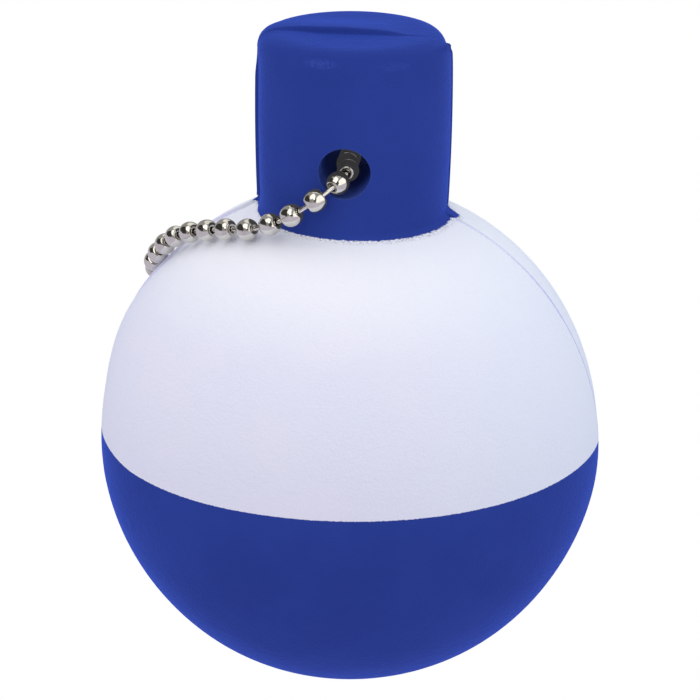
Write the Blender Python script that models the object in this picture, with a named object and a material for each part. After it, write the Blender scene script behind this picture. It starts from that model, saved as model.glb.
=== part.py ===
"""A floating keychain: a painted foam ball with a neck, on a loop of ball chain.

Lengths are in millimetres until a mesh is made, and meshes are in metres. Z runs up the
float's axis and Y along the cross hole in its neck. The origin is the middle of that hole,
where the chain carries the float, and the chain lies over the shoulder on the -X side.
"""

import math

import bmesh
import bpy
import numpy as np
from mathutils import Matrix, Vector

MM = 0.001

# Foam float
BALL_D = 56.0
NECK_FOOT_D = 20.8
NECK_WAIST_D = 21.3
NECK_TOP_D = 21.0
NECK_ABOVE_BALL = 18.2
NECK_EDGE_ROUND = 2.1
NECK_ROOT_ROUND = 0.6
HOLE_D = 5.6
HOLE_ABOVE_BALL = 5.4

# Ball chain: hollow beads, and rods with a head at each end
BEAD_D = 2.4
BEAD_WALL = 0.17
BEAD_MOUTH_D = 1.16
PITCH = 3.2
ROD_D = 0.46
HEAD_D = 1.28
HEAD_THICK = 0.16
HEAD_FROM_BEAD_CENTRE = 0.38

# Coupling that holds the two end beads
COUPLING_WALL = 0.2
COUPLING_PLAY = 0.15
COUPLING_MOUTH_D = 1.5
COUPLING_SPAN = 5.4
COUPLING_SLOT_W = 0.8
COUPLING_WINDOW_D = 2.6

# How the chain lies
LIE_GAP = 0.25
BEADS_FROM_MOUTH = 17
BEADS_BEFORE_MOUTH = 13

# Roundness of the meshes
FLOAT_SIDES = 48
HOLE_SIDES = 24
BEAD_SIDES = 10
ROD_SIDES = 6
COUPLING_SIDES = 16

BALL_R = BALL_D / 2
BALL_CENTRE_Z = -(BALL_R + HOLE_ABOVE_BALL)
NECK_TOP_Z = NECK_ABOVE_BALL - HOLE_ABOVE_BALL
FOOT_R = NECK_FOOT_D / 2
BEAD_R = BEAD_D / 2
SEAT = BEAD_R + LIE_GAP
BORE_REST_Z = SEAT - HOLE_D / 2
NECK_REST_Z = BALL_CENTRE_Z + math.sqrt((BALL_R + SEAT) ** 2 - (FOOT_R + SEAT) ** 2)
NECK_REST_SLOPE = math.degrees(math.asin((FOOT_R + SEAT) / (BALL_R + SEAT)))
COUPLING_R = BEAD_R + COUPLING_PLAY + COUPLING_WALL
COUPLING_LIFT = COUPLING_R - BEAD_R + COUPLING_SPAN**2 / (8 * BALL_R)

FOAM_BLUE = (0.023, 0.048, 0.27, 1.0)
FOAM_ROUGHNESS = 0.55
NICKEL = (0.66, 0.64, 0.59, 1.0)
NICKEL_ROUGHNESS = 0.16


def clear_scene():
    for thing in list(bpy.data.objects):
        bpy.data.objects.remove(thing, do_unlink=True)


def material(name, colour, roughness, metallic):
    """A new material, named as the piece that it is for."""
    made = bpy.data.materials.new(name)
    made.use_nodes = True
    shader = made.node_tree.nodes["Principled BSDF"]
    shader.inputs["Base Color"].default_value = colour
    shader.inputs["Roughness"].default_value = roughness
    shader.inputs["Metallic"].default_value = metallic
    made.diffuse_color = colour
    return made


def arc(centre_r, centre_z, radius, start, end, steps):
    """Points (r, z) on a circle, from one angle in degrees to another, 0 being outwards."""
    angles = np.radians(np.linspace(start, end, steps + 1))
    return [(centre_r + radius * math.cos(a), centre_z + radius * math.sin(a)) for a in angles]


def turned(name, profile, sides, closed=False):
    """A mesh turned about Z from points (r, z), whose ends lie on the axis unless it is closed."""
    shape = bmesh.new()
    points = [shape.verts.new((r * MM, 0.0, z * MM)) for r, z in profile]
    edges = [shape.edges.new(pair) for pair in zip(points, points[1:])]
    if closed:
        edges.append(shape.edges.new((points[-1], points[0])))
    bmesh.ops.spin(
        shape,
        geom=points + edges,
        axis=(0, 0, 1),
        cent=(0, 0, 0),
        angle=math.tau,
        steps=sides,
        use_merge=True,
    )
    bmesh.ops.remove_doubles(shape, verts=shape.verts, dist=1e-7)
    bmesh.ops.recalc_face_normals(shape, faces=shape.faces)
    mesh = bpy.data.meshes.new(name)
    shape.to_mesh(mesh)
    shape.free()
    mesh.shade_smooth()
    mesh.set_sharp_from_angle(angle=math.radians(40))
    return mesh


def foam(name):
    return material(name, FOAM_BLUE, FOAM_ROUGHNESS, 0.0)


def nickel(name):
    return material(name, NICKEL, NICKEL_ROUGHNESS, 1.0)


def place(name, mesh, finish):
    """An object with this mesh and a material of its own, even where the mesh is shared."""
    thing = bpy.data.objects.new(name, mesh)
    bpy.context.scene.collection.objects.link(thing)
    if not mesh.materials:
        mesh.materials.append(None)
    thing.material_slots[0].link = "OBJECT"
    thing.material_slots[0].material = finish(name)
    return thing


def cut(thing, cutter):
    cutter.hide_render = True
    cutter.display_type = "WIRE"
    opening = thing.modifiers.new("Opening", "BOOLEAN")
    opening.object = cutter
    opening.operation = "DIFFERENCE"
    opening.solver = "EXACT"


def neck_radius(z):
    """Radius of the barrel-shaped neck at a height or heights, from its three diameters."""
    foot_z = BALL_CENTRE_Z + BALL_R
    top_z = NECK_TOP_Z - NECK_EDGE_ROUND
    share = np.clip((z - foot_z) / (top_z - foot_z), 0, 1)
    waist, top = NECK_WAIST_D / 2, NECK_TOP_D / 2
    swell = waist - (FOOT_R + top) / 2
    return FOOT_R + (top - FOOT_R) * share + swell * 4 * share * (1 - share)


def root_round():
    """Middle of the small round between shoulder and neck, and where it meets the ball."""
    reach = BALL_R + NECK_ROOT_ROUND
    centre_r = FOOT_R + NECK_ROOT_ROUND
    rise = math.sqrt(reach**2 - centre_r**2)
    latitude = math.degrees(math.atan2(rise, centre_r))
    return centre_r, BALL_CENTRE_Z + rise, latitude


def float_profile():
    root_r, root_z, latitude = root_round()
    ball = arc(0, BALL_CENTRE_Z, BALL_R, -90, latitude, 22)
    ball[0] = (0.0, ball[0][1])
    root = arc(root_r, root_z, NECK_ROOT_ROUND, 180 + latitude, 180, 3)[1:]
    side_z = np.linspace(root_z, NECK_TOP_Z - NECK_EDGE_ROUND, 6)[1:-1]
    side = [(neck_radius(z), z) for z in side_z]
    edge_r = NECK_TOP_D / 2 - NECK_EDGE_ROUND
    edge = arc(edge_r, NECK_TOP_Z - NECK_EDGE_ROUND, NECK_EDGE_ROUND, 0, 90, 6)
    return ball + root + side + edge + [(0.0, NECK_TOP_Z)]


def build_float():
    """Ball and neck turned as one moulding, with the cross hole cut along Y."""
    body = place("float_body", turned("float_body", float_profile(), FLOAT_SIDES), foam)
    bpy.ops.mesh.primitive_cylinder_add(
        vertices=HOLE_SIDES,
        radius=HOLE_D / 2 * MM,
        depth=2 * NECK_WAIST_D * MM,
        rotation=(math.pi / 2, 0, 0),
    )
    hole = bpy.context.object
    hole.name = "cross_hole"
    cut(body, hole)


def on_shoulder(azimuth, down, lift=0.0):
    """A bead's place on the ball, by its turn about Z and its share of the way from neck to waist."""
    reach = BALL_R + SEAT + lift
    turn = math.radians(azimuth)
    fall = math.radians(NECK_REST_SLOPE + down * (90 - NECK_REST_SLOPE))
    flat = reach * math.sin(fall)
    height = BALL_CENTRE_Z + reach * math.cos(fall)
    return (flat * math.cos(turn), flat * math.sin(turn), height, lift)


def by_neck(azimuth, drop, off=0.0):
    """A bead's place beside the neck, by its turn and its share of the drop to the shoulder."""
    turn = math.radians(azimuth)
    height = BORE_REST_Z + drop * (NECK_REST_Z - BORE_REST_Z)
    reach = neck_radius(height) + SEAT + off
    return (reach * math.cos(turn), reach * math.sin(turn), height, 0.0)


def in_bore(aside, along, rise):
    """A bead's place in the hole, by shares of its width, of its length and of its free height."""
    height = BORE_REST_Z + rise * (HOLE_D - 2 * SEAT)
    return (aside * HOLE_D, along * NECK_WAIST_D / 2, height, 0.0)


def route(hang):
    """The chain's way round, from the front mouth over the left shoulder to the bore again.

    The loop hangs down the shoulder by a share, hang, of what the stops say.
    """
    return [
        in_bore(-0.12, -0.94, 0.06),
        by_neck(-103.8, 0.26, 0.04 * BEAD_D),
        by_neck(-115.5, 0.62, 0.27 * BEAD_D),
        on_shoulder(-128.4, 0.0177 * hang, 0.27 * BEAD_D),
        on_shoulder(-141.0, 0.0554 * hang),
        on_shoulder(-163.0, 0.1444 * hang),
        on_shoulder(-178.9, 0.2652 * hang, 0.1 * BEAD_D),
        on_shoulder(-190.7, 0.4025 * hang),
        on_shoulder(-201.0, 0.5262 * hang),
        on_shoulder(-208.5, 0.5747 * hang),
        on_shoulder(-220.0, 0.5616 * hang, COUPLING_LIFT),
        on_shoulder(-232.0, 0.4457 * hang, COUPLING_LIFT),
        on_shoulder(-244.0, 0.3099 * hang, COUPLING_LIFT),
        on_shoulder(-256.0, 0.1344 * hang, 0.25 * BEAD_D),
        by_neck(-265.0, 0.3, 0.8 * BEAD_D),
        in_bore(-0.06, 1.06, 0.2),
        in_bore(-0.05, 0.78, 0.25),
        in_bore(-0.05, 0.4, 0.04),
        in_bore(-0.05, 0.0, 0.04),
        in_bore(-0.04, -0.36, 0.17),
        in_bore(0.02, -0.65, 0.24),
    ]


def smooth_loop(stops, steps=40):
    """Points on a closed curve through the stops, closest together where the stops are."""
    stops = np.array(stops)
    pieces = []
    for i in range(len(stops)):
        a, b, c, d = (stops[(i + k) % len(stops)] for k in (-1, 0, 1, 2))
        t0 = 0.0
        t1 = t0 + math.sqrt(np.linalg.norm(b[:3] - a[:3]))
        t2 = t1 + math.sqrt(np.linalg.norm(c[:3] - b[:3]))
        t3 = t2 + math.sqrt(np.linalg.norm(d[:3] - c[:3]))
        t = np.linspace(t1, t2, steps, endpoint=False)[:, None]
        ab = (t1 - t) / (t1 - t0) * a + (t - t0) / (t1 - t0) * b
        bc = (t2 - t) / (t2 - t1) * b + (t - t1) / (t2 - t1) * c
        cd = (t3 - t) / (t3 - t2) * c + (t - t2) / (t3 - t2) * d
        abc = (t2 - t) / (t2 - t0) * ab + (t - t0) / (t2 - t0) * bc
        bcd = (t3 - t) / (t3 - t1) * bc + (t - t1) / (t3 - t1) * cd
        pieces.append((t2 - t) / (t2 - t1) * abc + (t - t1) / (t2 - t1) * bcd)
    return np.vstack(pieces)


def kept_clear(points):
    """The curve moved out where it runs into the ball or the neck, and its lift taken off."""
    places, lift = points[:, :3].copy(), np.maximum(points[:, 3], 0)
    centre = np.array([0.0, 0.0, BALL_CENTRE_Z])
    outside = places[:, 2] < BORE_REST_Z - BEAD_R
    for _ in range(6):
        arm = places - centre
        reach = np.linalg.norm(arm, axis=1)
        grow = np.maximum(1.0, (BALL_R + SEAT + lift) / reach)
        places = centre + arm * grow[:, None]
        flat = np.hypot(places[:, 0], places[:, 1])
        spread = np.where(outside, np.maximum(1.0, (neck_radius(places[:, 2]) + SEAT) / flat), 1.0)
        places[:, :2] *= spread[:, None]
    return places


def strung(path, count):
    """Places along a curve a pitch apart, from its start, and how many of its points they pass."""
    places = [path[0]]
    at = 0
    while len(places) < count:
        away = np.linalg.norm(path[at:] - places[-1], axis=1)
        step = int(np.argmax(away >= PITCH))
        near, far = path[at + step - 1], path[at + step]
        share = (PITCH - away[step - 1]) / (away[step] - away[step - 1])
        places.append(near + share * (far - near))
        at += step
    return places, at


def bead_places(hang):
    """Bead centres in order, and the room between the end beads, less than 0 if they pass."""
    path = kept_clear(smooth_loop(route(hang)))
    twice_on = np.vstack([path, path])
    twice_back = np.roll(twice_on[::-1], 1, axis=0)
    onward, passed = strung(twice_on, BEADS_FROM_MOUTH)
    back, passed_back = strung(twice_back, BEADS_BEFORE_MOUTH + 1)
    room = np.linalg.norm(onward[-1] - back[-1])
    if passed + passed_back > len(path):
        room = -room
    return back[:0:-1] + onward, room


def hung_chain():
    """All bead centres in order, hanging so that the coupling just closes the loop."""
    low, high = 0.0, 2.0
    for _ in range(40):
        hang = (low + high) / 2
        places, room = bead_places(hang)
        if room > COUPLING_SPAN:
            high = hang
        else:
            low = hang
    return [Vector(p) for p in places]


def facing(direction, up):
    """A turn that brings Z onto a direction, with X as near as it can be to another."""
    z = direction.normalized()
    y = z.cross(up).normalized()
    x = y.cross(z)
    return Matrix((x, y, z)).transposed().to_4x4()


def bead_profile():
    outer = math.degrees(math.asin(BEAD_MOUTH_D / BEAD_D))
    inside_r = BEAD_R - BEAD_WALL
    inner = math.degrees(math.asin(BEAD_MOUTH_D / 2 / inside_r))
    outside = arc(0, 0, BEAD_R, outer - 90, 90 - outer, 5)
    inside = arc(0, 0, inside_r, 90 - inner, inner - 90, 4)
    return outside + inside


def rod_profile(between_heads):
    """Half a rod's outline, its two heads' middles standing this far apart."""
    half, thick = between_heads / 2, HEAD_THICK / 2
    head_r, rod_r = HEAD_D / 2, ROD_D / 2
    lower = [(0, -half - thick), (head_r * 0.7, -half - thick), (head_r, -half), (rod_r, thick - half)]
    return lower + [(r, -z) for r, z in reversed(lower)]


def coupling_profile():
    half = COUPLING_SPAN / 2
    inside_r = COUPLING_R - COUPLING_WALL
    outer = math.degrees(math.asin(COUPLING_MOUTH_D / 2 / COUPLING_R))
    inner = math.degrees(math.asin(COUPLING_MOUTH_D / 2 / inside_r))
    top_out = arc(0, half, COUPLING_R, 0, 90 - outer, 5)
    top_in = arc(0, half, inside_r, 90 - inner, 0, 4)
    low_in = arc(0, -half, inside_r, 0, inner - 90, 4)
    low_out = arc(0, -half, COUPLING_R, outer - 90, 0, 5)
    return top_out + top_in + low_in + low_out


def build_beads(places):
    """One bead at each place, its mouths along the line between its neighbours."""
    mesh = turned("bead", bead_profile(), BEAD_SIDES, closed=True)
    axes = []
    for i, centre in enumerate(places):
        before, after = places[i - 1], places[(i + 1) % len(places)]
        if i in (0, len(places) - 1):
            axis = places[0] - places[-1]
        else:
            axis = (after - centre).normalized() + (centre - before).normalized()
        axes.append(axis.normalized())
        name = f"bead_{i + 1:02d}"
        bead = place(name, mesh, nickel)
        bead.matrix_world = Matrix.Translation(centre * MM) @ facing(axis, Vector((0.1, 0.2, 1)))
    return axes


def build_rods(places, axes):
    """One rod between each two beads, its heads just inside their mouths.

    The rod nearest the middle of the hole, which can't be seen, is left out.
    """
    unseen = min(range(len(places) - 1), key=lambda i: (places[i] + places[i + 1]).length)
    for i in range(len(places) - 1):
        if i == unseen:
            continue
        start = places[i] + axes[i] * HEAD_FROM_BEAD_CENTRE
        end = places[i + 1] - axes[i + 1] * HEAD_FROM_BEAD_CENTRE
        run = end - start
        name = f"link_{i + 1:02d}"
        mesh = turned(name, rod_profile(run.length), ROD_SIDES)
        rod = place(name, mesh, nickel)
        rod.matrix_world = Matrix.Translation((start + end) / 2 * MM) @ facing(run, Vector((0, 0, 1)))


def build_coupling(first, last):
    """The clasp round the two end beads, its slot and window facing away from the ball."""
    middle = (first + last) / 2
    outwards = middle - Vector((0, 0, BALL_CENTRE_Z))
    stand = Matrix.Translation(middle * MM) @ facing(first - last, outwards)
    mesh = turned("chain_coupling", coupling_profile(), COUPLING_SIDES, closed=True)
    clasp = place("chain_coupling", mesh, nickel)
    clasp.matrix_world = stand

    bpy.ops.mesh.primitive_cube_add(size=1)
    slot = bpy.context.object
    slot.name = "coupling_slot"
    size = Vector((2 * COUPLING_R, COUPLING_SLOT_W, COUPLING_SPAN + 4 * COUPLING_R)) * MM
    beside = Matrix.Translation((COUPLING_R * MM, 0, 0))
    slot.matrix_world = stand @ beside @ Matrix.Diagonal(size).to_4x4()
    cut(clasp, slot)

    bpy.ops.mesh.primitive_cylinder_add(
        vertices=24, radius=COUPLING_WINDOW_D / 2 * MM, depth=2 * COUPLING_R * MM
    )
    window = bpy.context.object
    window.name = "coupling_window"
    on_side = Matrix.Translation((1.2 * COUPLING_R * MM, 0, 0)) @ Matrix.Rotation(math.pi / 2, 4, "Y")
    window.matrix_world = stand @ on_side
    cut(clasp, window)


def main():
    clear_scene()
    build_float()
    places = hung_chain()
    axes = build_beads(places)
    build_rods(places, axes)
    build_coupling(places[0], places[-1])


main()
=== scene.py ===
"""The looks of a floating keychain: a painted foam float on a loop of nickel ball chain.

Lengths are in millimetres until they reach Blender, which works in metres. Z runs up the
float's axis and Y along the cross hole in its neck, whose middle is the origin.
"""

import math

import bmesh
import bpy
from mathutils import Matrix, Vector


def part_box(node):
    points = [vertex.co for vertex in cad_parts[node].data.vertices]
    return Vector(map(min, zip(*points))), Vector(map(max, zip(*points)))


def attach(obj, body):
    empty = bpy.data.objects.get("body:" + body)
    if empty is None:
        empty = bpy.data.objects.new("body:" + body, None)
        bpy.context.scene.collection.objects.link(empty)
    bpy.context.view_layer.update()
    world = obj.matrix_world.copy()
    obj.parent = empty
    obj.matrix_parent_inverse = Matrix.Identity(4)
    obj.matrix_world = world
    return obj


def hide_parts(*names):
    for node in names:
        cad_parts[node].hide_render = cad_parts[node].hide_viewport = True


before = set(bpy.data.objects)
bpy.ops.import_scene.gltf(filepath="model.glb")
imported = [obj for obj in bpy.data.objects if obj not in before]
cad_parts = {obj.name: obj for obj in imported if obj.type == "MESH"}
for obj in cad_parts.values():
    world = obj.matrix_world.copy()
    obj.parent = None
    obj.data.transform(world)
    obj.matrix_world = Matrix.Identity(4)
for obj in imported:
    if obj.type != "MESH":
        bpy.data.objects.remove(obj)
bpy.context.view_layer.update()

MM = 0.001

# Foam float
BALL_R = 28.0
BALL_Z = -33.4
NECK_TOP_Z = 12.8
NECK_FOOT_R = 10.25
NECK_WAIST_R = 10.43
NECK_TOP_R = 10.35
NECK_EDGE_IN = 3.2
NECK_EDGE_DOWN = 2.2
EDGE_SQUARENESS = 0.78
NECK_ROOT_ROUND = 0.9
HOLE_R = 2.8
HOLE_SINK = 0.12
PAINT_LINE_Z = BALL_Z + 1.0
NECK_LINE_Z = BALL_Z + 26.0
SHOULDER_Z = -7.3

# The line where the mould's halves met. The back half was moulded a little up and to the left.
SEAM_LOOPS = (-0.9, -0.45, -0.2, -0.1, -0.04, 0.04, 0.1, 0.2, 0.45, 0.9)
SEAM_Y = 0.9
SEAM_SKEW = 0.12
SEAM_ON_TOP_Y = -1.35
FLASH_HALF_W = 0.2
FLASH_LEFT = 0.3
FLASH_RIGHT = 0.26
FLASH_ON_BALL = 0.04
CROWN = 0.66
CROWN_RIGHT = 0.1
CROWN_BACK = 0.21
BACK_UP = 0.34
BACK_LEFT = 0.17
BACK_LEFT_ON_NECK = 0.12
BACK_LEFT_AT_CORNER = 0.2
FRONT_RIGHT = 0.2
FRONT_RIGHT_AT_CORNER = 0.36
FRONT_RIGHT_AT_LEFT_EDGE = 0.16

# Small leans of the moulding: where, which way, and how far round about
LEANS = (
    ((0, 0, BALL_Z - BALL_R), (0, 0, 0.35), 21),
    ((-24.9, 1.5, BALL_Z + 12.5), (-0.45, 0, 0.22), 10),
    ((-19, -3, BALL_Z - 20), (0.13, 0, 0.1), 22),
    ((-27.6, -2, BALL_Z + 2), (0.09, 0, 0), 8),
    ((27.5, -1, BALL_Z - 3), (0.13, 0, 0), 14),
    ((-8.7, 1, 12.9), (-0.5, 0, 0.05), 3.2),
    ((-10.3, 2.5, -6.6), (-0.4, 0, 0.1), 2.8),
)

# Ball chain
BEADS = 30
BEAD_R = 1.2
BEAD_WALL = 0.15
BEAD_BARREL = 0.21
BEAD_MOUTH_R = 0.43
BEAD_MOUTH_Z = 1.02
BEAD_MOUTH_LIP = 0.03
BEAD_MOUTH_DEEP = 0.14
BEAD_SEAM_W = 0.022
BEAD_SEAM_DEEP = 0.05
BEAD_ROLL = 137.5
ROD_R = 0.24
ROD_SPAN = 2.44
HEAD_STEPS = ((0.07, 1.25), (0.04, 2.0), (0.06, 1.06), (0.06, 0.9), (0.02, 0.7))
HEAD_HALF = 0.15
MOUTH_FROM_BEAD_CENTRE = 1.05
HEAD_FROM_MOUTH = 0.67
CLASP_R = 1.55
CLASP_SPAN = 5.4
CLASP_WALL = 0.2
CLASP_END_TURN = 61
CLASP_SLOT_W = 0.8
CLASP_SLOT_LENGTH = 12
CLASP_WINDOW_R = 1.3
CLASP_EDGE_ROUND = 0.03

# Colours, as linear light
FOAM_WHITE = (0.82, 0.845, 0.96, 1)
FOAM_CLOUD = (0.85, 0.855, 0.96, 1)
# Painted light: a lighter white for the ball's upper part round the neck
SHOULDER_PAINTED_LIGHT = (0.94, 0.955, 1.0, 1)
# Painted light: a cooler, bluer white for the right side
RIGHT_PAINTED_LIGHT = (0.8, 0.88, 0.98, 1)
PORE_GREY = (0.55, 0.56, 0.68, 1)
# Painted shade along the parting line: grey by the neck, lavender further left, blue on the right
SEAM_SHADE_GREY = (0.5, 0.53, 0.56, 1)
SEAM_SHADE_LAVENDER = (0.55, 0.51, 0.84, 1)
SEAM_SHADE_BLUE = (0.5, 0.5, 0.86, 1)
SPECK_GREY = (0.16, 0.17, 0.2, 1)
PAINT_BLUE = (0.0258, 0.0535, 0.303, 1)
PAINT_CLOUD = (0.0285, 0.06, 0.334, 1)
RUBBED_BLUE = (0.05, 0.09, 0.42, 1)
# Painted shade on the neck's top
NECK_TOP_SHADE_BLUE = (0.018, 0.04, 0.25, 1)
# Painted light and shade in the bore: lighter on its left wall, less light on its right wall and near
# the mouths
BORE_PAINTED_LIGHT = (0.13, 0.215, 0.58, 1)
BORE_PAINTED_SHADE = (0.06, 0.096, 0.31, 1)
SCUFF_BLUE = (0.06, 0.11, 0.5, 1)
FOAM_SHEEN = (0.45, 0.75, 1.0, 1)
PAINT_SHEEN = (0.065, 0.17, 1.0, 1)
# Painted reflection: the blue paint as the nickel mirrors it, a grey that glows a little
PAINTED_REFLECTION_GREY = (0.04, 0.04, 0.042, 1)
PAINTED_REFLECTION_GLOW = (0.046, 0.046, 0.052, 1)
NICKEL = (0.73, 0.71, 0.66, 1)
TARNISH = (0.62, 0.6, 0.55, 1)

# Studio: each patch of sky has a direction, the cosines between which it fades in, and a strength
TENT_PATCHES = (
    ((-0.6, -0.35, 0.7), 0.6, 0.95, 0.2),
    ((0.9, -0.3, 0.2), 0.3, 0.95, 0.16),
    ((0.97, 0.25, 0.0), 0.2, 0.95, 0.14),
    ((0.08, -0.93, 0.35), 0.9, 0.96, -0.4),
)
MIRRORED_PANELS = (
    ((0.87, -0.45, 0.2), 0.7, 0.74, 1.05),
    ((-0.35, -0.45, 0.82), 0.9, 0.92, 1.35),
    ((0.1, 0.5, 0.86), 0.85, 0.87, 0.65),
)
MIRRORED_FLAGS = (
    ((-0.95, -0.15, 0.1), 0.76, 0.79, 0.88),
    ((0.08, -0.93, 0.35), 0.955, 0.965, 0.8),
)
KEY_PLACE = (-70, -385, 250)
KEY_SIZE = 130
KEY_POWER = 0.12
CAMERA_TURN = 5.015
CAMERA_RISE = 20.444
CAMERA_ROLL = 0.595
CAMERA_AIM = (-0.083, 0, BALL_Z + 9.676)
CAMERA_DISTANCE = 327.21
CAMERA_LENS = 150.70


# Selecting and shaping


def alone(thing):
    """Selects one object and nothing else."""
    bpy.ops.object.select_all(action="DESELECT")
    thing.select_set(True)
    bpy.context.view_layer.objects.active = thing


def edit(thing):
    alone(thing)
    bpy.ops.object.mode_set(mode="EDIT")


def done():
    bpy.ops.object.mode_set(mode="OBJECT")


def pick(thing, kind, wanted):
    """Selects, in edit mode, each vertex, edge or face all of whose corners pass a test in mm."""
    bpy.ops.mesh.select_mode(type=kind)
    bpy.ops.mesh.select_all(action="DESELECT")
    shape = bmesh.from_edit_mesh(thing.data)
    if kind == "VERT":
        for corner in shape.verts:
            corner.select_set(wanted(corner.co / MM))
    else:
        for element in shape.edges if kind == "EDGE" else shape.faces:
            element.select_set(all(wanted(corner.co / MM) for corner in element.verts))
    shape.select_flush_mode()
    bmesh.update_edit_mesh(thing.data)


def ring_up(from_r, to_r, from_z, to_z):
    """Extrudes the selected ring to a new height and radius, in mm, and leaves the new one selected."""
    bpy.ops.mesh.extrude_edges_move(TRANSFORM_OT_translate={"value": (0, 0, (to_z - from_z) * MM)})
    share = to_r / from_r
    bpy.ops.transform.resize(value=(share, share, 1), center_override=(0, 0, to_z * MM))


def cap_out(step, share, along):
    """Extrudes the selected end face by a step in mm, and narrows or widens it by a share."""
    bpy.ops.mesh.extrude_region_move(TRANSFORM_OT_translate={"value": along * step * MM})
    wide = [share if abs(a) < 0.5 else 1 for a in along]
    bpy.ops.transform.resize(value=wide, center_override=selected_middle())


def selected_middle():
    shape = bmesh.from_edit_mesh(bpy.context.object.data)
    places = [corner.co for corner in shape.verts if corner.select]
    return sum(places, Vector()) / len(places)


def apply(thing, kind, **settings):
    """Adds a modifier with these settings and applies it."""
    alone(thing)
    made = thing.modifiers.new(kind.title(), kind)
    for name, value in settings.items():
        setattr(made, name, value)
    bpy.ops.object.modifier_apply(modifier=made.name)


def settle(thing):
    """Puts an object's place into its mesh."""
    alone(thing)
    bpy.ops.object.transform_apply(location=True, rotation=True, scale=True)


def smooth(thing, degrees):
    alone(thing)
    bpy.ops.object.shade_smooth_by_angle(angle=math.radians(degrees))


def cleaned(thing, sliver):
    """Takes out what is thinner than a sliver in mm, and splits the many-sided faces of a cut."""
    edit(thing)
    bpy.ops.mesh.select_all(action="SELECT")
    bpy.ops.mesh.dissolve_degenerate(threshold=sliver * MM)
    done()
    apply(thing, "TRIANGULATE", min_vertices=5, ngon_method="BEAUTY")


def joined(things, name):
    """One object from several, in the first one's place."""
    bpy.ops.object.select_all(action="DESELECT")
    for thing in things:
        thing.select_set(True)
    bpy.context.view_layer.objects.active = things[0]
    bpy.ops.object.join()
    things[0].name = name
    return things[0]


def copied(thing, stand):
    """A copy with its own mesh, stood at a place in metres."""
    twin = thing.copy()
    twin.data = thing.data.copy()
    bpy.context.scene.collection.objects.link(twin)
    twin.matrix_world = stand
    return twin


# The float


def neck_radius(z):
    """Radius of the barrel-shaped neck at a height."""
    foot_z = BALL_Z + BALL_R
    top_z = NECK_TOP_Z - NECK_EDGE_DOWN
    share = min(max((z - foot_z) / (top_z - foot_z), 0), 1)
    swell = NECK_WAIST_R - (NECK_FOOT_R + NECK_TOP_R) / 2
    return NECK_FOOT_R + (NECK_TOP_R - NECK_FOOT_R) * share + swell * 4 * share * (1 - share)


def neck_rings():
    """Radius and height of each ring from the shoulder to the flat top."""
    reach = BALL_R + NECK_ROOT_ROUND
    root_r = NECK_FOOT_R + NECK_ROOT_ROUND
    root_z = BALL_Z + math.sqrt(reach**2 - root_r**2)
    latitude = math.atan2(root_z - BALL_Z, root_r)
    rings = []
    for i in range(5):
        turn = math.pi + latitude * (1 - i / 4)
        across, up = NECK_ROOT_ROUND * math.cos(turn), NECK_ROOT_ROUND * math.sin(turn)
        rings.append((root_r + across, root_z + up))
    edge_z = NECK_TOP_Z - NECK_EDGE_DOWN
    for i in range(1, 28):
        z = root_z + (edge_z - root_z) * i / 27
        rings.append((neck_radius(z), z))
    edge_r = NECK_TOP_R - NECK_EDGE_IN
    for i in range(1, 17):
        turn = math.radians(90 * i / 16)
        across, up = max(math.cos(turn), 0) ** EDGE_SQUARENESS, math.sin(turn) ** EDGE_SQUARENESS
        rings.append((edge_r + NECK_EDGE_IN * across, edge_z + NECK_EDGE_DOWN * up))
    return rings


def turn_float():
    """Ball and neck: a sphere opened at the shoulder, its rim drawn up ring by ring."""
    bpy.ops.mesh.primitive_uv_sphere_add(
        segments=192, ring_count=96, radius=BALL_R * MM, location=(0, 0, BALL_Z * MM)
    )
    body = bpy.context.object
    body.name = "float_moulding"
    settle(body)
    rings = neck_rings()
    edit(body)
    bpy.ops.mesh.select_all(action="SELECT")
    bpy.ops.mesh.bisect(
        plane_co=(0, 0, rings[0][1] * MM), plane_no=(0, 0, 1), clear_outer=True, threshold=1e-6
    )
    pick(body, "EDGE", lambda p: p.z > rings[0][1] - 0.001)
    for (near_r, near_z), (far_r, far_z) in zip(rings, rings[1:]):
        ring_up(near_r, far_r, near_z, far_z)
    bpy.ops.mesh.fill_grid(span=48)
    bpy.ops.mesh.select_all(action="SELECT")
    bpy.ops.mesh.normals_make_consistent(inside=False)
    done()
    return body


def cut_seam_lines(body):
    """Runs edge loops beside the mould's parting plane, for its ridge and its step."""
    for y in SEAM_LOOPS:
        edit(body)
        pick(body, "FACE", lambda p: abs(p.y) < 3 and (abs(p.x) > 1.5 or p.z > 0))
        bpy.ops.mesh.bisect(plane_co=(0, y * MM, 0), plane_no=(0, 1, 0), threshold=1e-6)
        done()


def eased(value, low, high):
    """Rises smoothly from 0 at low to 1 at high."""
    share = min(max((value - low) / (high - low), 0), 1)
    return share * share * (3 - 2 * share)


def seam_line(x, z):
    """The y at which the parting line runs: askew on the ball, straight up the neck, then over it."""
    on_ball = 1 - eased(z, SHOULDER_Z, -5.8)
    on_top = eased(z, 10.2, 12.4)
    over = SEAM_ON_TOP_Y + 0.75 * (1 - eased(x, -6.5, -3.0))
    return on_ball * (SEAM_Y - SEAM_SKEW * x) + on_top * over


def flash_height(x, z, on_ball):
    """How far the flash stands out of the parting line: high beside the neck, faint on the ball."""
    if x < 0:
        height = FLASH_LEFT * (1 - eased(z, 7.5, 10.5))
    else:
        height = FLASH_RIGHT * (1 - eased(z, 12.15, 12.3))
    return eased(z, -7.6, -6.6) * height + on_ball * eased(z, -32, -24) * FLASH_ON_BALL


def crown_height(x, y):
    """How far the back half stands up on top of the neck: most at the line, left of the middle."""
    crown = CROWN * max(0, 1 - ((x + 1.8) / 7.6) ** 2)
    crown += CROWN_RIGHT * max(0, 1 - ((x - 5) / 4) ** 2)
    return crown + (CROWN_BACK - crown) * eased(y, 1.0, 6.0)


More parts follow.
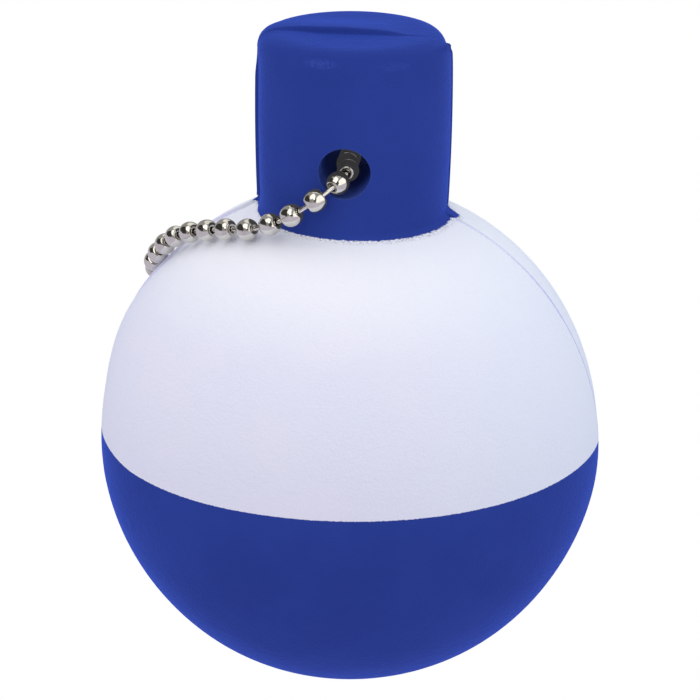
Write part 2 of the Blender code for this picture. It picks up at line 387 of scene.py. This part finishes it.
def press_seam(body):
    """The parting line: its place, its flash, and the step from the front half to the back half."""
    for corner in body.data.vertices:
        x, y, z = corner.co / MM
        reach = math.hypot(x, y)
        on_ball = 1 - eased(z, SHOULDER_Z, -5.6)
        on_top = eased(z, 10.6, 12.2)
        behind = eased(y, -0.1, 0.1)
        in_front = (1 - behind) * (1 - on_ball)

        aside = seam_line(x, z) * (1 - eased(abs(y), 0.9, 9.0)) * (1 if z > 0 else eased(reach, 3, 8))
        moved = Vector((x, y + aside, z))
        kept = eased(reach, 5, 8)
        moved.xy *= 1 + kept * (reach / max(moved.xy.length, 0.001) - 1)

        flash = max(0, 1 - abs(y) / FLASH_HALF_W) * kept * flash_height(x, z, on_ball)
        middle = Vector((0, 0, BALL_Z if on_ball > 0.5 else moved.z))
        moved += (moved - middle).normalized() * flash

        moved += Vector((-BACK_LEFT - 0.005 * x, 0, BACK_UP)) * behind * on_ball
        moved.x -= BACK_LEFT_ON_NECK * behind * (1 - on_ball) * (1 - on_top * 0.5)
        moved.x -= BACK_LEFT_AT_CORNER * behind * eased(x, 6, 10) * eased(z, 9.5, 11.5)
        moved.z += crown_height(x, y) * eased(y, -0.15, 0.3) * on_top

        right = FRONT_RIGHT + FRONT_RIGHT_AT_CORNER * eased(z, 11.45, 12.1) * eased(y, -4.0, -0.5)
        moved.x += right * in_front * eased(x, 3, 9) * (1 - eased(z, 12.2, 12.4))
        moved.x += FRONT_RIGHT_AT_LEFT_EDGE * in_front * eased(-x, 3, 9) * (1 - eased(z, 8, 11))
        corner.co = moved * MM


def lean(body, place, shift, reach):
    """Pulls the surface near a place by a small shift, all in mm, easing off over a reach."""
    place, shift = Vector(place), Vector(shift)
    for corner in body.data.vertices:
        away = (corner.co / MM - place).length
        if away < reach:
            corner.co += shift * (1 - eased(away, 0, reach)) * MM


def hole_cutter():
    """A bar along the cross hole, longer than the neck is wide."""
    bpy.ops.mesh.primitive_cylinder_add(
        vertices=128, radius=HOLE_R * MM, depth=3 * NECK_WAIST_R * MM,
        location=(0, 0, -HOLE_SINK * MM), rotation=(math.pi / 2, 0, 0)
    )
    cutter = bpy.context.object
    cutter.name = "cross_hole"
    settle(cutter)
    return cutter


def build_float():
    """The moulding, turned, seamed and leaned, with the cross hole cut last."""
    body = turn_float()
    cut_seam_lines(body)
    press_seam(body)
    for place, shift, reach in LEANS:
        lean(body, place, shift, reach)
    cutter = hole_cutter()
    apply(body, "BOOLEAN", object=cutter, operation="DIFFERENCE", solver="EXACT")
    bpy.data.objects.remove(cutter)
    cleaned(body, 0.0005)
    smooth(body, 50)
    return body


# The chain


def bead_centres():
    """Each bead's middle in mm, as the CAD has it."""
    places = []
    for i in range(BEADS):
        low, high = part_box(f"bead_{i + 1:02d}")
        places.append((low + high) / 2 / MM)
    return places


def bead_axes(places):
    axes = []
    for i, centre in enumerate(places):
        before, after = places[i - 1], places[(i + 1) % BEADS]
        if i in (0, BEADS - 1):
            axis = places[0] - places[-1]
        else:
            axis = (after - centre).normalized() + (centre - before).normalized()
        axes.append(axis.normalized())
    return axes


def facing(direction, up):
    """A turn that brings Z onto a direction, with X as near as it can be to another."""
    z = direction.normalized()
    y = z.cross(up).normalized()
    x = y.cross(z)
    return Matrix((x, y, z)).transposed().to_4x4()


def bead_pattern():
    """A bead rolled from strip: barrel shaped, its mouths turned in, with a closing seam."""
    bpy.ops.mesh.primitive_uv_sphere_add(segments=40, ring_count=26, radius=BEAD_R * MM)
    bead = bpy.context.object
    bead.name = "bead_pattern"
    apply(
        bead, "CAST", cast_type="CYLINDER", factor=BEAD_BARREL,
        size=BEAD_R * MM, use_radius_as_size=False
    )
    edit(bead)
    for side in (-1, 1):
        bpy.ops.mesh.select_all(action="SELECT")
        bpy.ops.mesh.bisect(
            plane_co=(0, 0, side * BEAD_MOUTH_Z * MM), plane_no=(0, 0, side), clear_outer=True,
            threshold=1e-7
        )
        pick(bead, "EDGE", lambda p: p.z * side > BEAD_MOUTH_Z - 0.001)
        shape = bmesh.from_edit_mesh(bead.data)
        rim_r = max(math.hypot(c.co.x, c.co.y) for c in shape.verts if c.select) / MM
        lip_r, lip_z = BEAD_MOUTH_R + BEAD_MOUTH_LIP, BEAD_MOUTH_Z + BEAD_MOUTH_LIP
        ring_up(rim_r, lip_r, side * BEAD_MOUTH_Z, side * lip_z)
        ring_up(lip_r, BEAD_MOUTH_R - 0.02, side * lip_z, side * BEAD_MOUTH_Z)
        end_z = BEAD_MOUTH_Z - BEAD_MOUTH_DEEP
        ring_up(BEAD_MOUTH_R - 0.02, BEAD_MOUTH_R, side * BEAD_MOUTH_Z, side * end_z)
    pick(bead, "EDGE", lambda p: abs(p.y) < 0.001 and p.x > 0)
    bpy.ops.mesh.bevel(offset=BEAD_SEAM_W * MM, segments=2, affect="EDGES")
    pick(bead, "VERT", lambda p: abs(p.y) < 0.001 and p.x > 0)
    bpy.ops.transform.shrink_fatten(value=-BEAD_SEAM_DEEP * MM)
    bpy.ops.mesh.select_all(action="SELECT")
    bpy.ops.mesh.normals_make_consistent(inside=False)
    done()
    apply(bead, "SOLIDIFY", thickness=BEAD_WALL * MM, offset=-1)
    smooth(bead, 45)
    return bead


def rod_pattern():
    """A rod with a drawn head at each end, ROD_SPAN long between the heads' middles."""
    bpy.ops.mesh.primitive_cylinder_add(
        vertices=18, radius=ROD_R * MM, depth=(ROD_SPAN - 2 * HEAD_HALF) * MM
    )
    rod = bpy.context.object
    rod.name = "rod_pattern"
    for side in (-1, 1):
        edit(rod)
        pick(rod, "FACE", lambda p: p.z * side > ROD_SPAN / 2 - HEAD_HALF - 0.01)
        for step, share in HEAD_STEPS:
            cap_out(step, share, Vector((0, 0, side)))
        done()
    smooth(rod, 60)
    return rod


def clasp_pattern():
    """The coupling: a sheet barrel with turned-in ends, a slot along it and a window."""
    bpy.ops.mesh.primitive_cylinder_add(
        vertices=48, radius=CLASP_R * MM, depth=CLASP_SPAN * MM, end_fill_type="NGON"
    )
    clasp = bpy.context.object
    clasp.name = "chain_clasp"
    for side in (-1, 1):
        edit(clasp)
        pick(clasp, "FACE", lambda p: p.z * side > CLASP_SPAN / 2 - 0.01)
        radius, reached = CLASP_R, 0.0
        for i in range(1, 9):
            turn = math.radians(CLASP_END_TURN * i / 8)
            wide, high = CLASP_R * math.cos(turn), CLASP_R * math.sin(turn)
            cap_out(high - reached, wide / radius, Vector((0, 0, side)))
            radius, reached = wide, high
        bpy.ops.mesh.delete(type="FACE")
        done()
    apply(clasp, "SOLIDIFY", thickness=CLASP_WALL * MM, offset=-1)
    bpy.ops.mesh.primitive_cube_add(size=1)
    slot = bpy.context.object
    slot.scale = (2 * CLASP_R * MM, CLASP_SLOT_W * MM, CLASP_SLOT_LENGTH * MM)
    slot.location = (CLASP_R * MM, 0, 0)
    settle(slot)
    apply(clasp, "BOOLEAN", object=slot, operation="DIFFERENCE", solver="EXACT")
    bpy.data.objects.remove(slot)
    bpy.ops.mesh.primitive_cylinder_add(
        vertices=48, radius=CLASP_WINDOW_R * MM, depth=2 * CLASP_R * MM, rotation=(0, math.pi / 2, 0)
    )
    window = bpy.context.object
    window.location = (1.2 * CLASP_R * MM, 0, 0)
    settle(window)
    apply(clasp, "BOOLEAN", object=window, operation="DIFFERENCE", solver="EXACT")
    bpy.data.objects.remove(window)
    apply(
        clasp, "BEVEL", width=CLASP_EDGE_ROUND * MM, segments=2,
        limit_method="ANGLE", angle_limit=math.radians(50)
    )
    cleaned(clasp, 0.004)
    smooth(clasp, 40)
    return clasp


def build_chain():
    """Beads, rods and coupling along the CAD's beads, each rolled a little differently."""
    places = bead_centres()
    axes = bead_axes(places)
    pattern = bead_pattern()
    beads = []
    for i, (centre, axis) in enumerate(zip(places, axes)):
        roll = Matrix.Rotation(math.radians(BEAD_ROLL * i), 4, "Z")
        stand = Matrix.Translation(centre * MM) @ facing(axis, Vector((0.1, 0.2, 1))) @ roll
        beads.append(copied(pattern, stand))
        settle(beads[-1])
    bpy.data.objects.remove(pattern)

    pattern = rod_pattern()
    rods = []
    for i in range(BEADS - 1):
        start = places[i] + axes[i] * MOUTH_FROM_BEAD_CENTRE
        end = places[i + 1] - axes[i + 1] * MOUTH_FROM_BEAD_CENTRE
        run = end - start
        run += run.normalized() * 2 * HEAD_FROM_MOUTH
        stretch = Matrix.Diagonal((1, 1, run.length / ROD_SPAN, 1))
        stand = Matrix.Translation((start + end) / 2 * MM) @ facing(run, Vector((0, 0, 1))) @ stretch
        rods.append(copied(pattern, stand))
        settle(rods[-1])
    bpy.data.objects.remove(pattern)

    clasp = clasp_pattern()
    middle = (places[0] + places[-1]) / 2
    outwards = middle - Vector((0, 0, BALL_Z))
    turned = facing(places[0] - places[-1], outwards)
    clasp.matrix_world = Matrix.Translation(middle * MM) @ turned
    settle(clasp)
    return joined(beads, "chain_beads"), joined(rods, "chain_rods"), clasp


# Shader maths


class Shade:
    """A value in a material's nodes, on which sums are written as in Python."""

    def __init__(self, tree, socket=None):
        self.tree = tree
        self.socket = socket

    def node(self, kind, settings=None, inputs=None, output=0):
        """A new node, its settings made first and then its sockets filled or linked."""
        made = self.tree.nodes.new(kind)
        for name, value in (settings or {}).items():
            if name == "stops":
                ramp = made.color_ramp
                while len(ramp.elements) < len(value):
                    ramp.elements.new(0.5)
                for element, (at, colour) in zip(ramp.elements, value):
                    element.position = at
                    element.color = colour
            else:
                setattr(made, name, value)
        for name, value in (inputs or {}).items():
            if isinstance(value, Shade):
                self.tree.links.new(value.socket, made.inputs[name])
            else:
                made.inputs[name].default_value = value
        return None if output is None else Shade(self.tree, made.outputs[output])

    def math(self, operation, *values):
        return self.node("ShaderNodeMath", {"operation": operation}, dict(enumerate(values)))

    def __add__(self, other):
        return self.math("ADD", self, other)

    __radd__ = __add__

    def __sub__(self, other):
        return self.math("SUBTRACT", self, other)

    def __rsub__(self, other):
        return self.math("SUBTRACT", other, self)

    def __mul__(self, other):
        return self.math("MULTIPLY", self, other)

    __rmul__ = __mul__

    def __truediv__(self, other):
        return self.math("DIVIDE", self, other)

    def __pow__(self, other):
        return self.math("POWER", self, other)

    def __abs__(self):
        return self.math("ABSOLUTE", self)

    def rise(self, low, high):
        """0 below low, 1 above high, and smooth between."""
        inputs = {"Value": self, "From Min": low, "From Max": high}
        return self.node("ShaderNodeMapRange", {"interpolation_type": "SMOOTHSTEP"}, inputs)

    def noise(self, size, detail=2.0, at=None):
        """Noise from 0 to 1 whose grains are about a size in mm."""
        inputs = {"Vector": at or self, "Scale": 1 / (size * MM), "Detail": detail, "Roughness": 0.55}
        return self.node("ShaderNodeTexNoise", {}, inputs)

    def mix(self, first, second):
        """From the first colour to the second as this value goes from 0 to 1."""
        inputs = {0: self, 6: first, 7: second}
        return self.node("ShaderNodeMix", {"data_type": "RGBA"}, inputs, output=2)


def finish_material(name):
    """A new material, and a start for sums in object coordinates."""
    made = bpy.data.materials.new(name)
    made.use_nodes = True
    made.node_tree.nodes.clear()
    return made, Shade(made.node_tree).node("ShaderNodeTexCoord", output=3)


def axes_of(place):
    """The three coordinates in mm."""
    parts = place.node("ShaderNodeSeparateXYZ", {}, {"Vector": place}).socket.node
    return [Shade(place.tree, parts.outputs[i]) * (1 / MM) for i in range(3)]


def either(first, second):
    """The greater of two masks."""
    return first.math("MAXIMUM", first, second)


def scuff(place, x, z, wide, high):
    """A soft oval on the front of the neck, about a middle in mm."""
    across, along, up = axes_of(place)
    far = (((across - x) * (1 / wide)) ** 2.0 + ((up - z) * (1 / high)) ** 2.0) ** 0.5
    return (1 - far.rise(0.5, 1.2)) * (0 - along).rise(6, 8)


def clouds(place):
    """Wide, soft patches, from 0 to 1."""
    return place.noise(9.0, 3.0).rise(0.3, 0.75)


def paint_edges(place, left, right, teeth):
    """How far a point is past the ball's paint line and past the neck's, in mm, with ragged edges."""
    x, y, z = axes_of(place)
    jag = teeth * 0.22 + (place.noise(0.13, 2.0) - 0.5) * 0.2
    lift = x.rise(-16, -5) * 0.1 + (0 - x).rise(22, 28) * 0.5
    below = PAINT_LINE_Z + lift - z + jag * 0.7
    peak = either(1 - either((y - 1.0) * 3.0, (1.0 - y) * 0.6), 0.0)
    right_tab = peak * 0.15 - y.rise(1.2, 2.2) * 0.28
    left_tab = y.rise(0.0, 2.0) * 0.16 - y.rise(2.0, 2.6) * 0.12
    above = z + x * 0.02 - NECK_LINE_Z + jag + (right_tab * right + left_tab * left)
    return below, above


def foam_white(place, left, right, teeth, above):
    """Bare foam: faint clouds, painted light high up and a painted cool tint on the right, painted
    shade along the parting line, open pores, and specks at the neck's paint.
    """
    x, y, z = axes_of(place)
    white = clouds(place).mix(FOAM_WHITE, FOAM_CLOUD)
    # Painted light: the ball's upper part round the neck is made lighter, as if more light fell on it
    # from above.
    white = z.rise(-19, -9).mix(white, SHOULDER_PAINTED_LIGHT)
    # Painted light: the right side grows cooler and bluer, for the light that falls on that side.
    white = (x.rise(0, 28) * 0.8).mix(white, RIGHT_PAINTED_LIGHT)

    # Painted shade: a band along the parting line on the ball, standing for the shade on the step
    # between the mould's halves.
    off_seam = abs(y - (SEAM_Y - x * SEAM_SKEW) * (1 - z.rise(SHOULDER_Z, -5.8)) + teeth * 0.5)
    left_seam_shade = left * (1 - off_seam.rise(0.1, 0.28)) * 0.5
    low = (0 - z).rise(9, 17)
    right_seam_shade = right * (1 - (off_seam * (1 - low * 0.62)).rise(0.05, 0.16)) * (low * 0.7 + 0.3)
    seam_shade = (0 - x).rise(10.5, 15.0).mix(SEAM_SHADE_GREY, SEAM_SHADE_LAVENDER)
    seam_shade = right.mix(seam_shade, SEAM_SHADE_BLUE)
    white = either(left_seam_shade, right_seam_shade).mix(white, seam_shade)

    white = (skin_grain(place).rise(0.6, 0.8) * 0.08).mix(white, PORE_GREY)
    fringe = 1 - abs(above).rise(0.02, 0.34)
    at_left_seam = left * (1 - abs(y - 1.6).rise(0.6, 2.0))
    specks = fringe * place.noise(0.17, 2.0).rise(0.47, 0.62) * (at_left_seam * 0.35 + 0.6)
    return specks.mix(white, SPECK_GREY)


def paint_blue(place):
    """Blue paint: faint clouds, rubbed patches and scuffs, with painted shade on the neck's top and
    painted light and shade in the bore.
    """
    x, y, z = axes_of(place)
    blue = clouds(place).mix(PAINT_BLUE, PAINT_CLOUD)
    blue = (place.noise(1.6, 4.0).rise(0.62, 0.85) * 0.1).mix(blue, RUBBED_BLUE)
    # Painted shade: the neck's top is made darker, against the light that falls on it from above.
    blue = (z.rise(10.8, 12.6) * 0.75).mix(blue, NECK_TOP_SHADE_BLUE)

    # Painted light and shade: the bore is lighter than the paint, most on its left wall and less on its
    # right wall and near the mouths.
    over_bore = z + HOLE_SINK
    bore = 1 - ((x * x + over_bore * over_bore) ** 0.5).rise(HOLE_R + 0.01, HOLE_R + 0.04)
    inside = either(x.rise(-2.4, 1.2), abs(y).rise(7.5, 9.2)).mix(BORE_PAINTED_LIGHT, BORE_PAINTED_SHADE)
    blue = bore.mix(blue, inside)

    scuffs = scuff(place, -2.6, 11.6, 1.9, 0.5) + scuff(place, 5.2, 11.35, 1.7, 0.45) * 0.5
    scuffs = scuffs * place.noise(0.22, 3.0).rise(0.38, 0.6)
    return (scuffs * 0.36).mix(blue, SCUFF_BLUE)


def skin_grain(place):
    """The fine grain of moulded foam, from 0 to 1."""
    return place.noise(0.26, 2.0)


def painted_foam():
    """White foam, painted blue below a grainy line and on the neck, with a fine skin; in reflections
    the blue shows as a painted, faintly glowing grey.
    """
    made, place = finish_material("painted_foam")
    x = axes_of(place)[0]
    left, right = (0 - x).rise(5, 9), x.rise(5, 9)
    teeth = place.noise(0.34, 3.0) - 0.5
    below, above = paint_edges(place, left, right, teeth)
    blue_mask = either(below.rise(-0.03, 0.03), above.rise(-0.03, 0.03))

    grain = skin_grain(place)
    rough = 0.6 + (grain - 0.5) * 0.16
    skin = grain * 1.5 + place.noise(1.3, 2.0) * 1.0 + place.noise(6.0, 2.0) * 1.5
    bump = skin.node("ShaderNodeBump", {}, {"Strength": 0.9, "Distance": 0.05 * MM, "Height": skin})

    white = foam_white(place, left, right, teeth, above)
    foam = {"Base Color": white, "Roughness": rough, "Normal": bump, "Specular IOR Level": 0.12}
    foam.update({"Sheen Weight": 0.2, "Sheen Roughness": 0.3, "Sheen Tint": FOAM_SHEEN})
    foam = place.node("ShaderNodeBsdfPrincipled", {}, foam)
    blue = paint_blue(place)
    paint = {"Base Color": blue, "Roughness": rough, "Normal": bump, "Specular IOR Level": 0.02}
    paint.update({"Sheen Weight": 0.94, "Sheen Roughness": 0.32, "Sheen Tint": PAINT_SHEEN})
    paint = place.node("ShaderNodeBsdfPrincipled", {}, paint)
    both = place.node("ShaderNodeMixShader", {}, {0: blue_mask, 1: foam, 2: paint})

    # Painted reflection: to glossy rays the blue paint shows as a flat grey that glows a little, so the
    # nickel mirrors a grey neck.
    painted_reflection = {"Base Color": PAINTED_REFLECTION_GREY, "Roughness": 0.8, "Specular IOR Level": 0.0}
    painted_reflection.update({"Emission Color": PAINTED_REFLECTION_GLOW, "Emission Strength": 1.0})
    painted_reflection = place.node("ShaderNodeBsdfPrincipled", {}, painted_reflection)
    mirrored = place.node("ShaderNodeLightPath", output="Is Glossy Ray")
    both = place.node("ShaderNodeMixShader", {}, {0: mirrored * blue_mask, 1: both, 2: painted_reflection})
    place.node("ShaderNodeOutputMaterial", {}, {"Surface": both}, output=None)
    return made


def polished_nickel(name, dents):
    """Nickel plate, tumbled bright, with a little tarnish and dents of a given depth."""
    made, place = finish_material(name)
    cloud = place.noise(1.1, 3.0)
    colour = cloud.rise(0.35, 0.75).mix(NICKEL, TARNISH)
    rough = 0.06 + cloud * 0.06
    waves = place.noise(0.9, 1.0) * dents + place.noise(0.12, 2.0) * 0.2
    bump = waves.node("ShaderNodeBump", {}, {"Strength": 0.35, "Distance": 0.06 * MM, "Height": waves})
    plate = {"Base Color": colour, "Metallic": 1.0, "Roughness": rough, "Normal": bump}
    plate = place.node("ShaderNodeBsdfPrincipled", {}, plate)
    place.node("ShaderNodeOutputMaterial", {}, {"Surface": plate}, output=None)
    return made


def dress(thing, material):
    thing.data.materials.clear()
    thing.data.materials.append(material)


# Stage, light and camera


def build_floor():
    """A plain white floor under the float, pure white to the camera."""
    bpy.ops.mesh.primitive_plane_add(size=4, location=(0, 0, (BALL_Z - BALL_R - 0.05) * MM))
    floor = bpy.context.object
    floor.name = "floor"
    made = bpy.data.materials.new("white_floor")
    made.use_nodes = True
    tree = made.node_tree
    tree.nodes.clear()
    start = Shade(tree)
    lit = start.node("ShaderNodeEmission", {}, {"Color": (0.9, 0.845, 1.0, 1), "Strength": 0.71})
    glow = start.node("ShaderNodeEmission", {}, {"Color": (1, 1, 1, 1), "Strength": 1.0})
    seen = start.node("ShaderNodeLightPath", output="Is Camera Ray")
    sheet = start.node("ShaderNodeMixShader", {}, {0: seen, 1: lit, 2: glow})
    clear = start.node("ShaderNodeBsdfTransparent")
    under = start.node("ShaderNodeNewGeometry", output="Backfacing")
    sheet = start.node("ShaderNodeMixShader", {}, {0: under, 1: sheet, 2: clear})
    start.node("ShaderNodeOutputMaterial", {}, {"Surface": sheet}, output=None)
    dress(floor, made)


def build_world():
    """White to the camera; a soft tent to the foam; panels and black flags in the nickel."""
    world = bpy.data.worlds.new("studio")
    bpy.context.scene.world = world
    world.use_nodes = True
    tree = world.node_tree
    tree.nodes.clear()
    start = Shade(tree)
    way = start.node("ShaderNodeTexCoord", output=0)

    def towards(direction, low, high):
        inputs = {0: way, 1: Vector(direction).normalized()}
        along = start.node("ShaderNodeVectorMath", {"operation": "DOT_PRODUCT"}, inputs, output="Value")
        return along.rise(low, high)

    height = start.node("ShaderNodeSeparateXYZ", {}, {"Vector": way}, output=2)
    soft = 0.72 + height.rise(0.2, 0.95) * 0.34
    for direction, low, high, strength in TENT_PATCHES:
        soft = soft + towards(direction, low, high) * strength
    crisp = 0.36
    for direction, low, high, strength in MIRRORED_PANELS:
        crisp = crisp + towards(direction, low, high) * strength
    for direction, low, high, strength in MIRRORED_FLAGS:
        crisp = crisp * (1 - towards(direction, low, high) * strength)
    white = start.node("ShaderNodeBackground", {}, {"Color": (1, 1, 1, 1), "Strength": 1.0})
    tent = start.node("ShaderNodeBackground", {}, {"Color": (0.96, 0.96, 1.0, 1), "Strength": soft})
    flags = start.node("ShaderNodeBackground", {}, {"Color": (1.0, 0.985, 0.94, 1), "Strength": crisp})
    mirrored = start.node("ShaderNodeLightPath", output="Is Glossy Ray")
    seen = start.node("ShaderNodeLightPath", output="Is Camera Ray")
    both = start.node("ShaderNodeMixShader", {}, {0: mirrored, 1: tent, 2: flags})
    both = start.node("ShaderNodeMixShader", {}, {0: seen, 1: both, 2: white})
    start.node("ShaderNodeOutputWorld", {}, {"Surface": both}, output=None)


def panel(name, place, size, power):
    """A square soft light at a place in mm, facing the float."""
    lamp = bpy.data.lights.new(name, "AREA")
    lamp.size = size * MM
    lamp.energy = power
    thing = bpy.data.objects.new(name, lamp)
    bpy.context.scene.collection.objects.link(thing)
    spot = Vector(place)
    aim = (Vector((0, 0, BALL_Z)) - spot).to_track_quat("-Z", "Y")
    thing.matrix_world = Matrix.Translation(spot * MM) @ aim.to_matrix().to_4x4()


def build_lights():
    panel("key_softbox", KEY_PLACE, KEY_SIZE, KEY_POWER)


def build_camera():
    """The photograph's view: 5 degrees to the right of the hole and 20 above level."""
    turn, rise, roll = (math.radians(angle) for angle in (CAMERA_TURN, CAMERA_RISE, CAMERA_ROLL))
    aim = Vector(CAMERA_AIM)
    level = Matrix.Rotation(turn, 3, "Z")
    side = level @ Vector((1, 0, 0))
    up = level @ Vector((0, math.sin(rise), math.cos(rise)))
    ahead = level @ Vector((0, math.cos(rise), -math.sin(rise)))
    right = side * math.cos(roll) + up * math.sin(roll)
    top = up * math.cos(roll) - side * math.sin(roll)
    lens = bpy.data.cameras.new("camera")
    lens.sensor_width = 36
    lens.lens = CAMERA_LENS
    lens.clip_start = 0.01
    lens.clip_end = 20
    camera = bpy.data.objects.new("camera", lens)
    bpy.context.scene.collection.objects.link(camera)
    basis = Matrix((right, top, -ahead)).transposed().to_4x4()
    camera.matrix_world = Matrix.Translation((aim - ahead * CAMERA_DISTANCE) * MM) @ basis
    bpy.context.scene.camera = camera


def main():
    foam, nickel = painted_foam(), polished_nickel("polished_nickel", 4.0)
    smoother = polished_nickel("coupling_nickel", 0.7)
    body = build_float()
    dress(body, foam)
    beads, rods, clasp = build_chain()
    for thing, plate in ((beads, nickel), (rods, nickel), (clasp, smoother)):
        dress(thing, plate)
        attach(thing, "root")
    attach(body, "root")
    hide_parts("float_body")
    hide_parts(*[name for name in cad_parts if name.startswith("bead_")])
    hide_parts(*[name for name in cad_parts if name.startswith("link_")])
    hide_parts("chain_coupling")
    build_floor()
    build_world()
    build_lights()
    build_camera()
    bpy.context.scene.view_settings.view_transform = "Standard"


main()
